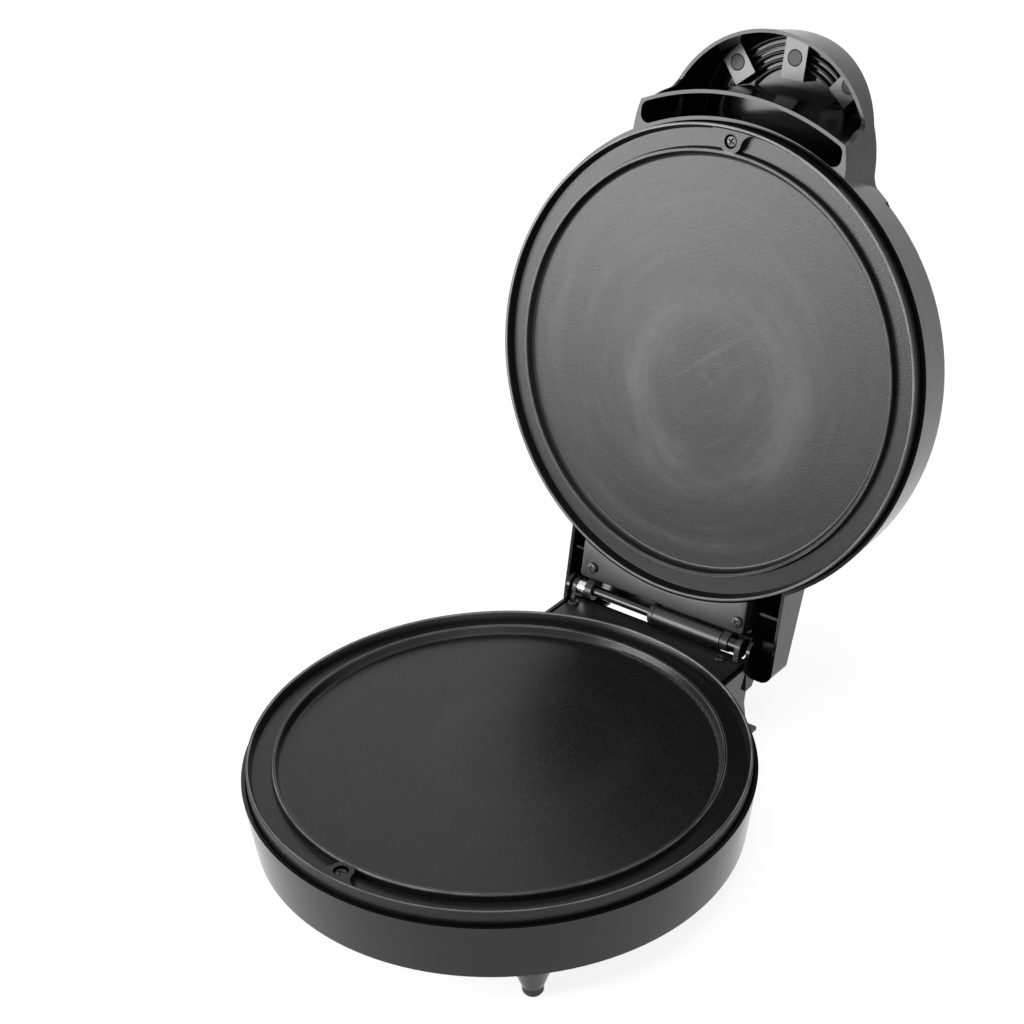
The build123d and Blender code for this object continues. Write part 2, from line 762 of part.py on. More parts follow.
with BuildPart() as deck_screws:
    for x, y in DECK_SCREWS:
        add(pan_screw(x, y, BASE_BLOCK_TOP, 14))


def on_rod(x_low, x_high, radius, bore=ROD_R):
    """A sleeve, bush or collar on the rod; no bore gives the rod itself."""
    with BuildSketch(Plane.YZ.offset(x_low)) as section:
        with Locations((HINGE_Y, HINGE_Z)):
            Circle(radius)
            if bore:
                Circle(bore, mode=Mode.SUBTRACT)
    extrude(section.sketch, amount=x_high - x_low)


with BuildPart() as hinge_rod:
    on_rod(-76.6, 70.5, ROD_R, None)

with BuildPart() as hinge_sleeve:
    on_rod(-4.5, 53, 7.5)

with BuildPart() as hinge_collar:
    on_rod(-8, -4.5, 8.0)

with BuildPart() as hinge_bushes:
    on_rod(-72.6, -66.5, 6.2)
    on_rod(60.2, 66.3, 6.2)


def lens(y_near, y_far):
    """Clear cap of one signal lamp with a flange under the lid's roof."""
    with BuildPart() as cap:
        with BuildSketch(Plane.XY.offset(PADDLE_TOP - WALL)):
            lens_outline(0)
        extrude(amount=WALL + 0.6)
        block(-20, 20, -200, y_far, 0, 200, Mode.SUBTRACT)
        block(-20, 20, y_near, 0, 0, 200, Mode.SUBTRACT)
        flange = LENS_HALF_W + 2
        rear = max(y_far, LENS_Y_FAR + 1)
        front = min(y_near, LENS_Y_NEAR - 1)
        ceiling = PADDLE_TOP - WALL
        block(-flange, flange, rear, front, ceiling - 1.5, ceiling)
    return cap.part


lens_split = (LENS_Y_NEAR + LENS_Y_FAR) / 2
with BuildPart() as power_lens:
    add(lens(LENS_Y_NEAR + 1, lens_split + 0.2))

with BuildPart() as ready_lens:
    add(lens(lens_split - 0.2, LENS_Y_FAR - 1))

# Carrier under the lenses with one neon lamp for each
with BuildPart() as lamp_carrier:
    high = PADDLE_TOP - WALL - 1.5
    block(-10, 10, LENS_Y_FAR, LENS_Y_NEAR, high - 11, high)
    block(-8.5, 8.5, LENS_Y_FAR + 1.5, LENS_Y_NEAR - 1.5, high - 9.5, high + 1, Mode.SUBTRACT)

with BuildPart() as neon_lamps:
    for y in (lens_split + 15, lens_split - 15):
        with Locations(Location((0, y, high - 9.5 + 3.0), (90, 0, 0))):
            Cylinder(3.0, 16)

# Feet: two rubber feet in front, a stand behind that carries the hinge end
with BuildPart() as front_feet:
    for side in (-1, 1):
        with BuildSketch(Plane.XY.offset(7)):
            with Locations((side * FOOT_X, FOOT_Y)):
                Circle(7.3)
        extrude(amount=-5, taper=6)
        with BuildSketch(Plane.XY.offset(2)):
            with Locations((side * FOOT_X, FOOT_Y)):
                Circle(6.75)
        extrude(amount=-2, taper=35)

with BuildPart() as rear_stand:
    for side in (-1, 1):
        with BuildSketch(Plane.YZ.offset(side * 62)):
            with BuildLine():
                Polyline(
                    (128, 0),
                    (211, 0),
                    (211, 3),
                    (208, 3),
                    (199.5, 53),
                    (191, 53),
                    (190, 31),
                    (157, 31),
                    (155, 23.8),
                    (131, 23.8),
                    (129, 3),
                    (128, 3),
                    close=True,
                )
            make_face()
        extrude(amount=1.5, both=True)
        block(side * 62 - 8, side * 62 + 8, 126, 212, 0, 3)
    block(-62, 62, 200, 212, 0, 3)
    block(-62, 62, 200, 202.5, 0, 20)
    with BuildSketch(Plane.XY.offset(28)):
        with Locations((0, 165)):
            Rectangle(124, 32)
        Circle(BASE_FOOT_R + 2, mode=Mode.SUBTRACT)
    extrude(amount=3)
    for x, y in STAND_SCREWS:
        post(x, y, 2.2, 20, 40, Mode.SUBTRACT)

with BuildPart() as stand_screws:
    for x, y in STAND_SCREWS:
        add(pan_screw(x, y, 28, 9, up=False))

# Strain relief: grommet in the block's rear wall with a ribbed tapering boot
relief_end = 220.0
with BuildPart() as strain_relief:
    with BuildSketch(Plane.XY):
        with BuildLine():
            points = [(0, 176), (8, 176), (8, 180.9), (5.9, 180.9)]
            points += [(5.9, 188.1), (8.5, 188.1), (8.5, 190.5), (6.2, 190.5)]
            grooves = 5
            for groove in range(grooves):
                start = 193 + groove * 4.6
                radius = 6.1 - groove * 0.32
                points += [(radius, start), (radius - 0.9, start + 0.5)]
                points += [(radius - 0.9, start + 1.7), (radius - 0.1, start + 2.2)]
            points += [(4.5, relief_end), (0, relief_end)]
            Polyline(*points, close=True)
        make_face()
    revolve(axis=Axis.Y)
strain_relief.part = strain_relief.part.moved(Location((CORD_X, 0, CORD_Z)))


def arc_radii(points):
    """Corner radii for a cord: 0.45 of the shorter run over the tangent of half the turn."""
    radii = []
    for a, b, c in zip(points, points[1:], points[2:]):
        first = Vector(b) - Vector(a)
        second = Vector(c) - Vector(b)
        turn = radians(first.get_angle(second))
        radii.append(0.45 * min(first.length, second.length) / tan(turn / 2))
    return radii


# Cord: leaves the relief, drops to the table and runs back to the coil
coil_start = (COIL_X + COIL_OUT_R, COIL_Y - 2 * CORD_R, CORD_R)
cord_route = [
    (CORD_X, relief_end, CORD_Z),
    (CORD_X, 243, CORD_Z),
    (17, 268, 33),
    (7, 296, 14),
    (-6, 327, CORD_R),
    (-21, 360, CORD_R),
    (-29.5, 386, CORD_R),
    coil_start,
]
cord_radii = arc_radii(cord_route)
print("cord radii", [round(radius) for radius in cord_radii])
with BuildPart() as power_cord:
    with BuildLine() as cord_line:
        FilletPolyline(*cord_route, radius=cord_radii)
    with BuildSketch(Plane(origin=cord_route[0], z_dir=(0, 1, 0))):
        Circle(CORD_R)
    sweep(path=cord_line.wires()[0])
cord_length = cord_line.wires()[0].length
print("cord volume over section by length", power_cord.part.volume / (pi * CORD_R**2 * cord_length))


def coil_arc(start, end, heading):
    """Half a turn as two tangent arcs of a quarter turn."""
    start = Vector(start)
    end = Vector(end)
    half = (end - start).length / 2
    ahead = heading * half
    joint = (start + end) * 0.5 + ahead
    TangentArc(start, joint, tangent=heading)
    TangentArc(joint, end, tangent=end - start)


# Coil: the rest of the cord in two layers of loops, spiralling in and out again
with BuildPart() as cord_coil:
    reach = COIL_OUT_R
    side = 1
    height = CORD_R
    halves = 7
    climb = 3
    with BuildLine() as coil_line:
        Line(coil_start, (COIL_X + reach, COIL_Y, height))
        for half in range(halves):
            if half < climb:
                next_reach = reach - COIL_PITCH / 2
            elif half == climb:
                next_reach = reach
            elif half < halves - 1:
                next_reach = reach + COIL_PITCH / 2
            else:
                next_reach = COIL_LOOSE_R
            next_height = height + (LAYER_RISE if half == climb else 0)
            coil_arc(
                (COIL_X + side * reach, COIL_Y, height),
                (COIL_X - side * next_reach, COIL_Y, next_height),
                Vector(0, side, 0),
            )
            reach, height, side = next_reach, next_height, -side
        coil_end = (COIL_X + side * reach, COIL_Y + side * 2 * CORD_R, height)
        Line((COIL_X + side * reach, COIL_Y, height), coil_end)
    with BuildSketch(Plane(origin=coil_start, z_dir=(0, 1, 0))):
        Circle(CORD_R)
    sweep(path=coil_line.wires()[0])

coil_path = coil_line.wires()[0]
step_length = 4
steps = int(coil_path.length / step_length)
samples = [coil_path.position_at(step / steps) for step in range(steps + 1)]
apart = 60 // step_length
least = min(
    (first - second).length
    for number, first in enumerate(samples)
    for second in samples[number + apart:]
)
print("coil length", round(coil_path.length), "least gap", round(least - 2 * CORD_R, 2))

# Plug: moulded grip with a tapering tail and two round pins
plug_z = CORD_R + LAYER_RISE
with BuildPart() as plug:
    with BuildSketch(Plane(origin=coil_end, z_dir=(0, side, 0))):
        Circle(4.6)
    with BuildSketch(Plane(origin=Vector(coil_end) + Vector(0, side * 24, 0), z_dir=(0, side, 0))):
        Circle(7.5)
    loft()
    with Locations((coil_end[0], coil_end[1] + side * 42, plug_z)):
        Box(28, 36, 2 * plug_z)
    fillet(plug.edges().filter_by(Axis.Y), 5)

with BuildPart() as plug_pins:
    with Locations(Location((coil_end[0], coil_end[1] + side * 69.5, plug_z), (90, 0, 0))):
        with Locations((-9.5, 0, 0), (9.5, 0, 0)):
            Cylinder(2.4, 19)


def wire(route, radius=1.1, bend=4.0):
    """One insulated wire along a route."""
    with BuildPart() as strand:
        with BuildLine() as line:
            FilletPolyline(*route, radius=bend)
        first = Vector(route[1]) - Vector(route[0])
        with BuildSketch(Plane(origin=route[0], z_dir=first)):
            Circle(radius)
        sweep(path=line.wires()[0])
    return strand.part


pin_tip_x = abs(pin_places[0].origin.X) - 15 * cos(radians(ELEMENT_GAP_ANGLE / 2))
pin_tip_y = pin_places[0].origin.Y + 15 * sin(radians(ELEMENT_GAP_ANGLE / 2))
with BuildPart() as base_wires:
    add(wire(((CORD_X - 3, 175.7, CORD_Z), (CORD_X - 3, 166, CORD_Z), (-4.8, 166, CORD_Z)), bend=3))
    add(wire(((CORD_X + 2, 175.7, CORD_Z), (CORD_X + 2, 162.5, CORD_Z), (-4.8, 162.5, CORD_Z)), bend=3))
    for x_start, x_end in ((-36, -pin_tip_x), (-14, pin_tip_x)):
        add(
            wire(
                (
                    (x_start, 159.8, 42),
                    (x_start, 155, 42),
                    (x_start, 154, 64),
                    (x_end, 122, 65),
                    (x_end, pin_tip_y + 1.6, element_z),
                ),
                bend=2.5,
            )
        )

with BuildPart() as lid_wires:
    lid_pin_z = mirrored_z(element_z)
    for x_start, x_end in ((-36, -pin_tip_x), (-14, pin_tip_x)):
        add(
            wire(
                (
                    (x_start, 178, 98),
                    (x_start, 158, 99),
                    (x_end, 122, lid_pin_z + 1),
                    (x_end, pin_tip_y + 1.6, lid_pin_z),
                ),
                bend=2.5,
            )
        )

lid_pieces = {
    "lid_housing": lid_housing,
    "upper_plate": upper_plate,
    "upper_plate_screw": upper_plate_screw,
    "upper_reflector": upper_reflector,
    "upper_element": upper_element,
    "upper_insulators": upper_insulators,
    "upper_clamps": upper_clamps,
    "thermostat": thermostat,
    "lid_hinge_plate": lid_hinge_plate,
    "lid_hinge_screws": lid_hinge_screws,
    "power_lens": power_lens,
    "ready_lens": ready_lens,
    "lamp_carrier": lamp_carrier,
    "neon_lamps": neon_lamps,
    "lid_wires": lid_wires,
}
base_pieces = {
    "base_housing": base_housing,
    "lower_plate": lower_plate,
    "lower_plate_screw": lower_plate_screw,
    "lower_reflector": lower_reflector,
    "lower_element": lower_element,
    "lower_insulators": lower_insulators,
    "lower_clamps": lower_clamps,
    "thermal_fuse": thermal_fuse,
    "terminal_block": terminal_block,
    "base_wires": base_wires,
    "base_hinge_deck": base_hinge_deck,
    "deck_screws": deck_screws,
    "hinge_rod": hinge_rod,
    "hinge_sleeve": hinge_sleeve,
    "hinge_collar": hinge_collar,
    "hinge_bushes": hinge_bushes,
    "front_feet": front_feet,
    "rear_stand": rear_stand,
    "stand_screws": stand_screws,
    "strain_relief": strain_relief,
    "power_cord": power_cord,
    "cord_coil": cord_coil,
    "plug": plug,
    "plug_pins": plug_pins,
}
os.makedirs("parts", exist_ok=True)
hinge_line = Axis((0, HINGE_Y, HINGE_Z), (1, 0, 0))
for name, piece in lid_pieces.items():
    piece.part = piece.part.rotate(hinge_line, -OPEN_ANGLE)
for name, piece in (lid_pieces | base_pieces).items():
    piece.part = piece.part.moved(Location((0, PLATE_AXIS_Y, 0)))
    piece.part.label = name
    export_step(piece.part, f"parts/{name}.step")
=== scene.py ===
"""Looks of the electric pizza maker: camera, light, cord, materials and fine pieces.

Metres, +Z up, +Y from the handle towards the hinge, z = 0 on the table. The lid stands open.
"""

import math

import bmesh
import bpy
from mathutils import Matrix, Vector


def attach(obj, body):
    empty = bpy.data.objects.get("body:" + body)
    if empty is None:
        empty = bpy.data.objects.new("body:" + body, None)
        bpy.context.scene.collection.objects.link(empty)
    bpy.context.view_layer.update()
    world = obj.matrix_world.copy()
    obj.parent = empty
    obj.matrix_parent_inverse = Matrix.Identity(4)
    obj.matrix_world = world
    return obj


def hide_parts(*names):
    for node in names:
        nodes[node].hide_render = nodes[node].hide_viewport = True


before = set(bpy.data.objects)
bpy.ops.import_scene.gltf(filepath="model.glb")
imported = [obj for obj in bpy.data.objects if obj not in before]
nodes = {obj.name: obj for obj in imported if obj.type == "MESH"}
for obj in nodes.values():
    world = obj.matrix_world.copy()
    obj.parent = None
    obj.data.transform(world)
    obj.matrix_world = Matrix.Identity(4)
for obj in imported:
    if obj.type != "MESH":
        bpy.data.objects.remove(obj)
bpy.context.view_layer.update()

# Places shared with the part's source
MM = 0.001
PLATE_Y = -93.1
PLATE_AXIS = Vector((0.0, PLATE_Y, 0.0)) * MM
HINGE = Vector((0.0, 189.7 + PLATE_Y, 84.1)) * MM
OPEN_ANGLE = math.radians(102.5)
OPENED = (
    Matrix.Translation(HINGE) @ Matrix.Rotation(-OPEN_ANGLE, 4, "X") @ Matrix.Translation(-HINGE)
)
LUG_Y = -157.6


def on_open_lid(spot):
    """Moves a point of the shut lid, in millimetres about the plate axis, to the open lid."""
    return OPENED @ (spot * MM + PLATE_AXIS)


# Camera, fitted to the photograph's plates, rims and screws
IMAGE_SIZE = 1024
FOCAL_PX = 2122.0
AXIS_PX = (605.9, 514.5)
SENSOR = 36.0
CAMERA_PLACE = Vector((0.72615, -0.98223, 0.91360))
CAMERA_BACK = Vector((0.50697, -0.70437, 0.49683))


def make_camera():
    """The photograph's camera, with a small shift because the photo is a crop."""
    data = bpy.data.cameras.new("camera")
    data.sensor_width = SENSOR
    data.lens = FOCAL_PX / IMAGE_SIZE * SENSOR
    data.shift_x = (IMAGE_SIZE / 2 - AXIS_PX[0]) / IMAGE_SIZE
    data.shift_y = (AXIS_PX[1] - IMAGE_SIZE / 2) / IMAGE_SIZE
    camera = bpy.data.objects.new("camera", data)
    camera.location = CAMERA_PLACE
    camera.rotation_mode = "QUATERNION"
    camera.rotation_quaternion = (-CAMERA_BACK).to_track_quat("-Z", "Y")
    bpy.context.scene.collection.objects.link(camera)
    bpy.context.scene.camera = camera


# Cord: the part's route, then two layers of loops, as control points of one spline
CORD_R = 3.4
CORD_EXIT = (20.0, 126.9, 42.0)
CORD_ROUTE = [
    CORD_EXIT,
    (20, 149.9, 42),
    (17, 174.9, 33),
    (7, 202.9, 14),
    (-6, 233.9, 3.4),
    (-21, 266.9, 3.4),
    (-29.5, 292.9, 3.4),
    (-29.5, 312.1, 3.4),
]
COIL_X = -75.0
COIL_Y = 412.0 + PLATE_Y
COIL_REACH = (45.5, 41.0, 36.5, 32.0, 32.0, 36.5, 41.0, 64.0)
COIL_CLIMB = 3
LAYER_RISE = 7.25
STEPS_PER_HALF = 8


def coil_points():
    """Control points of the coil, eight for each half turn, spiralling in and out again."""
    points = []
    side = 1
    swell = 1 / math.cos(math.pi / STEPS_PER_HALF / 2)
    for half, (reach, following) in enumerate(zip(COIL_REACH, COIL_REACH[1:])):
        low = CORD_R + (LAYER_RISE if half > COIL_CLIMB else 0)
        rise = LAYER_RISE if half == COIL_CLIMB else 0
        centre = COIL_X + side * (reach - following) / 2
        radius = (reach + following) / 2 * swell
        for step in range(STEPS_PER_HALF):
            share = (step + 0.5) / STEPS_PER_HALF
            turn = math.pi * share
            x = centre + side * radius * math.cos(turn)
            y = COIL_Y + side * radius * math.sin(turn)
            points.append((x, y, low + rise * share))
        side = -side
    end_x = COIL_X + side * COIL_REACH[-1]
    height = CORD_R + LAYER_RISE
    points.append((end_x, COIL_Y, height))
    points.append((end_x, COIL_Y + side * 2 * CORD_R, height))
    return points


def make_cord(material):
    """The mains cord as one smooth tube."""
    curve = bpy.data.curves.new("mains_cord", "CURVE")
    curve.dimensions = "3D"
    curve.bevel_depth = 1.0
    curve.bevel_resolution = 5
    curve.resolution_u = 10
    curve.use_fill_caps = True
    curve.materials.append(material)
    spline = curve.splines.new("NURBS")
    places = CORD_ROUTE + coil_points()
    spline.points.add(len(places) - 1)
    for point, place in zip(spline.points, places):
        point.co = (*(Vector(place) * MM), 1)
        point.radius = CORD_R * MM
    spline.order_u = 3
    spline.use_endpoint_u = True
    cord = bpy.data.objects.new("mains_cord", curve)
    bpy.context.scene.collection.objects.link(cord)
    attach(cord, "base")
    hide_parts("power_cord", "cord_coil")


# Materials
class Shader:
    """A material's node tree with short calls to add and join nodes."""

    def __init__(self, name):
        self.material = bpy.data.materials.new(name)
        self.material.use_nodes = True
        self.tree = self.material.node_tree
        self.surface = self.tree.nodes["Principled BSDF"]

    def add(self, kind, values=None, **settings):
        """One node, its settings and the values of its input sockets."""
        node = self.tree.nodes.new(kind)
        for key, value in settings.items():
            setattr(node, key, value)
        for key, value in (values or {}).items():
            self.feed(node.inputs[key], value)
        return node

    def feed(self, socket, value):
        """Links another node's output to a socket, or sets the socket's own value."""
        if isinstance(value, bpy.types.NodeSocket):
            self.tree.links.new(value, socket)
        else:
            socket.default_value = value

    def set(self, **values):
        """Sockets of the surface shader, with underscores for the spaces in their names."""
        for key, value in values.items():
            self.feed(self.surface.inputs[key.replace("_", " ")], value)

    def place(self):
        """The point on the surface in the model's own coordinates, in metres."""
        return self.add("ShaderNodeTexCoord").outputs["Object"]

    def noise(self, scale, detail=2.0, roughness=0.5, vector=None, distortion=0.0):
        """Noise between 0 and 1 at a scale given in cells to the metre."""
        values = {"Scale": scale, "Detail": detail, "Roughness": roughness, "Distortion": distortion}
        values["Vector"] = vector or self.place()
        return self.add("ShaderNodeTexNoise", values).outputs["Fac"]

    def math(self, operation, first, second=0.0):
        """One arithmetic step."""
        return self.add("ShaderNodeMath", {0: first, 1: second}, operation=operation).outputs[0]

    def vector(self, operation, first, second=(0, 0, 0)):
        """One step of vector arithmetic."""
        return self.add("ShaderNodeVectorMath", {0: first, 1: second}, operation=operation).outputs[0]

    def beside(self, place, centre):
        """The level way from an upright axis to a point, and its length."""
        level = self.vector("MULTIPLY", self.vector("SUBTRACT", place, centre), (1, 1, 0))
        length = self.add("ShaderNodeVectorMath", {0: level}, operation="LENGTH").outputs["Value"]
        return level, length

    def remap(self, value, low, high, to_low, to_high, smooth=False):
        """Maps a value from one span to another and clamps it there."""
        kind = "SMOOTHSTEP" if smooth else "LINEAR"
        values = {0: value, 1: low, 2: high, 3: to_low, 4: to_high}
        return self.add("ShaderNodeMapRange", values, interpolation_type=kind).outputs[0]

    def blend(self, share, first, second):
        """A colour between two."""
        return self.add("ShaderNodeMix", {0: share, 6: first, 7: second}, data_type="RGBA").outputs[2]

    def bump(self, height, depth):
        """Relief of the given depth in metres."""
        return self.add("ShaderNodeBump", {"Height": height, "Distance": depth}).outputs[0]


def grey(value):
    """A neutral colour."""
    return (value, value, value, 1.0)


def shaded(colour, factor):
    """A colour with its channels multiplied by a factor."""
    return tuple(channel * factor for channel in colour[:3]) + (1.0,)


def disc(m, place, centre, radius):
    """One inside an upright cylinder about a centre, nought outside it."""
    soft = 0.4 * MM
    distance = m.beside(place, centre)[1]
    return m.remap(distance, radius - soft, radius + soft, 1.0, 0.0)


def plate_place(m, on_lid):
    """Coordinates about a plate's own axis, for the lid's plate turned back to shut."""
    place = m.place()
    if on_lid:
        values = {"Vector": place, "Center": HINGE, "Angle": OPEN_ANGLE}
        place = m.add("ShaderNodeVectorRotate", values, rotation_type="X_AXIS").outputs[0]
    return m.vector("SUBTRACT", place, PLATE_AXIS)


# Pads inside the handle with their ejector marks, about the plate axis
PAD_FACE = 152.0 * MM
PAD_SKIN = (0.2 * MM, 1.2 * MM)
PAD_MARK_R = 5.5 * MM
PAD_MARKS = (
    Vector((0.0, -211.0, 0.0)) * MM,
    Vector((-45.0, -200.0, 0.0)) * MM,
    Vector((45.0, -200.0, 0.0)) * MM,
)
HANDLE_CENTRE = Vector((0.0, -147.0, 0.0)) * MM
HANDLE_INSIDE_R = 80.5 * MM


def handle_pads(m):
    """Shares of the pads' faces and of the round marks on them."""
    place = plate_place(m, True)
    height = m.add("ShaderNodeSeparateXYZ", {"Vector": place}).outputs["Z"]
    near, far = PAD_SKIN
    below = m.remap(height, PAD_FACE + near, PAD_FACE + far, 1.0, 0.0)
    above = m.remap(height, PAD_FACE - far, PAD_FACE - near, 0.0, 1.0)
    inside = m.math("MULTIPLY", disc(m, place, HANDLE_CENTRE, HANDLE_INSIDE_R), below)
    pads = m.math("MULTIPLY", inside, above)
    marks = 0.0
    for centre in PAD_MARKS:
        marks = m.math("MAXIMUM", disc(m, place, centre, PAD_MARK_R), marks)
    return pads, m.math("MULTIPLY", marks, pads)


def gloss_housing(name, on_lid):
    """Piano black moulding: nearly mirror smooth, with faint ripple, wipe marks and dust.

    The pads in the lid's handle are satin, painted lighter and more reflective for their sheen, with a
    round ejector mark on each.
    """
    m = Shader(name)
    wipes = m.remap(m.noise(22, 5, 0.6, distortion=0.6), 0.42, 0.72, 0.0, 1.0)
    dust = m.remap(m.noise(2600, 2, 0.5), 0.70, 0.76, 0.0, 1.0)
    tone = m.blend(m.math("MULTIPLY", dust, 0.06), grey(0.0035), grey(0.20))
    roughness = m.math("ADD", m.math("MULTIPLY", wipes, 0.08), 0.14)
    relief = m.math("MULTIPLY", m.noise(45, 3, 0.45), 0.00012)
    # Painted shade: the lid's copy of the plastic reflects less than the base's, to dim the lid's
    # walls
    sheen = 0.25 if on_lid else 0.38
    if on_lid:
        pads, marks = handle_pads(m)
        roughness = m.math("MAXIMUM", roughness, m.math("MULTIPLY", pads, 0.34))
        # Painted sheen: the pads are of the lid's black plastic, but their grey is lighter to stand in
        # for light on them
        tone = m.blend(m.math("MULTIPLY", pads, 0.8), tone, grey(0.030))
        tone = m.blend(marks, tone, grey(0.012))
        # Painted sheen: a stronger reflection on the pads
        sheen = m.math("ADD", m.math("MULTIPLY", pads, 0.5), sheen)
        sheen = m.math("SUBTRACT", sheen, m.math("MULTIPLY", marks, 0.5))
        relief = m.math("SUBTRACT", relief, m.math("MULTIPLY", marks, 0.0005))
    m.set(Base_Color=tone)
    m.set(Roughness=roughness)
    m.set(Specular_IOR_Level=sheen)
    m.set(Normal=m.bump(relief, 1.0))
    return m.material


def satin_moulding(name, value, roughness):
    """Satin moulded plastic with a fine spark eroded grain."""
    m = Shader(name)
    share = m.remap(m.noise(60, 4, 0.6), 0.3, 0.7, 0.0, 1.0)
    m.set(Base_Color=m.blend(share, grey(value * 0.85), grey(value * 1.25)))
    m.set(Roughness=m.remap(m.noise(300, 3, 0.6), 0.3, 0.7, roughness - 0.05, roughness + 0.06))
    m.set(Normal=m.bump(m.noise(2400, 2, 0.6), 0.00003))
    return m.material


# Coat of the plates: spans in metres from the axis or from the middle of the wipe marks
WIPE_CENTRE = (0.008, 0.014, 0.0)
BELT_RISES = (0.035, 0.060)
BELT_FALLS = (0.066, 0.100)
STROKES_FADE = (0.03, 0.11)
WELL_FADES = (0.132, 0.145)
STROKE_HEADING = math.radians(38)
STROKE_STRETCH = (7.0, 120.0, 0.0)
# Radii and strengths of painted highlight lines at the ridge and lip edges, standing in for light on
# their rounded fillets
HIGHLIGHT_RINGS = ((0.1485, 0.25), (0.1501, 0.5), (0.1663, 0.9), (0.1671, 0.4))
HIGHLIGHT_EDGE = (0.00012, 0.00045)
LUG_CENTRE = Vector((0.0, LUG_Y, 0.0)) * MM
# Radius of a painted shade disc round the lug's screw, standing in for the shade in its counterbore
PIT_SHADE_R = 5.0 * MM
COAT_GREYS = (0.0030, 0.0065)
FLECK_GREY = 0.18
HIGHLIGHT_GREY = 0.5
PIT_SHADE_GREY = 0.001
WIPED_GREY = 0.085
COAT_SHEEN = 0.36


def swirl(m, place, centre, across, along):
    """Streaks that run in circles about a centre: fine across the radius, long along it."""
    level, distance = m.beside(place, centre)
    values = {0: m.vector("NORMALIZE", level), "Scale": along}
    spread = m.add("ShaderNodeVectorMath", values, operation="SCALE").outputs[0]
    lift = m.add("ShaderNodeCombineXYZ", {"Z": m.math("MULTIPLY", distance, across)}).outputs[0]
    return m.noise(1.0, 4, 0.6, vector=m.vector("ADD", spread, lift)), distance


def strokes(m, place):
    """Straight wipe strokes: noise drawn out along one heading."""
    values = {"Vector": place, "Angle": STROKE_HEADING}
    turned = m.add("ShaderNodeVectorRotate", values, rotation_type="Z_AXIS").outputs[0]
    return m.noise(1.0, 3, 0.5, vector=m.vector("MULTIPLY", turned, STROKE_STRETCH))


def nonstick(name, on_lid, wipe_share, gloss):
    """Dark sprayed non-stick coat: fine speckle and orange peel, with soft wipe marks, painted
    highlight rings at the ridge and lip edges and a painted shade disc round the lug's screw.
    """
    m = Shader(name)
    place = plate_place(m, on_lid)
    speckle = m.remap(m.noise(1500, 2, 0.6), 0.35, 0.68, 0.0, 1.0)
    fleck = m.remap(m.noise(1900, 1, 0.5), 0.66, 0.74, 0.0, 1.0)
    around, distance = swirl(m, place, (0.0, 0.0, 0.0), 60, 0.8)
    aside, off_centre = swirl(m, place, WIPE_CENTRE, 34, 0.7)
    belt = m.math(
        "MULTIPLY",
        m.remap(off_centre, *BELT_RISES, 0.0, 1.0, smooth=True),
        m.remap(off_centre, *BELT_FALLS, 1.0, 0.0, smooth=True),
    )
    belt = m.math("MULTIPLY", belt, m.remap(aside, 0.38, 0.66, 0.1, 1.0))
    rings = m.math(
        "MULTIPLY",
        m.remap(around, 0.46, 0.70, 0.0, 0.6),
        m.remap(aside, 0.4, 0.6, 0.2, 1.0),
    )
    lines = m.math(
        "MULTIPLY",
        m.remap(strokes(m, place), 0.56, 0.70, 0.0, 0.7),
        m.remap(off_centre, *STROKES_FADE, 1.0, 0.0, smooth=True),
    )
    wiped = m.math("MAXIMUM", m.math("MAXIMUM", belt, rings), lines)
    in_well = m.remap(distance, *WELL_FADES, 1.0, 0.0, smooth=True)
    wiped = m.math("MULTIPLY", m.math("MULTIPLY", wiped, in_well), wipe_share)
    tone = m.blend(speckle, grey(COAT_GREYS[0]), grey(COAT_GREYS[1]))
    tone = m.blend(m.math("MULTIPLY", fleck, 0.3), tone, grey(FLECK_GREY))
    # Painted highlights: thin bright rings at the ridge and lip edges, in place of light caught by
    # their fillets
    painted_highlight = 0.0
    for radius, share in HIGHLIGHT_RINGS:
        off = m.math("ABSOLUTE", m.math("SUBTRACT", distance, radius))
        painted_highlight = m.math("MAXIMUM", m.remap(off, *HIGHLIGHT_EDGE, share, 0.0), painted_highlight)
    painted_highlight = m.math("MULTIPLY", painted_highlight, m.remap(m.noise(40, 3, 0.5), 0.3, 0.7, 0.4, 1.0))
    # Painted shade: a black disc round the lug's screw with its reflection taken away, in place of the
    # counterbore's shade; the highlight rings stop there
    pit_shade = disc(m, place, LUG_CENTRE, PIT_SHADE_R)
    outside_pit_shade = m.math("SUBTRACT", 1.0, pit_shade)
    tone = m.blend(m.math("MULTIPLY", painted_highlight, outside_pit_shade), tone, grey(HIGHLIGHT_GREY))
    tone = m.blend(pit_shade, tone, grey(PIT_SHADE_GREY))
    m.set(Base_Color=m.blend(wiped, tone, grey(WIPED_GREY)))
    m.set(Roughness=m.math("ADD", m.math("MULTIPLY", wiped, 0.05), gloss))
    m.set(Specular_IOR_Level=m.math("MULTIPLY", outside_pit_shade, COAT_SHEEN))
    peel = m.math("ADD", m.math("MULTIPLY", speckle, 0.5), m.noise(700, 2, 0.5))
    m.set(Normal=m.bump(peel, 0.00006))
    return m.material


def metal(name, value, roughness, grain=(1, 1, 1), warm=0.0):
    """Metal with fine lines: grain stretches the noise, small along the lines."""
    m = Shader(name)
    lines = m.noise(900, 3, 0.6, vector=m.vector("MULTIPLY", m.place(), grain))
    light = (value, value * (1 - warm * 0.5), value * (1 - warm), 1)
    m.set(Base_Color=m.blend(lines, shaded(light, 0.72), light))
    m.set(Metallic=1.0)
    m.set(Roughness=m.remap(lines, 0.3, 0.7, roughness * 0.7, roughness * 1.3))
    m.set(Normal=m.bump(lines, 0.00001))
    return m.material


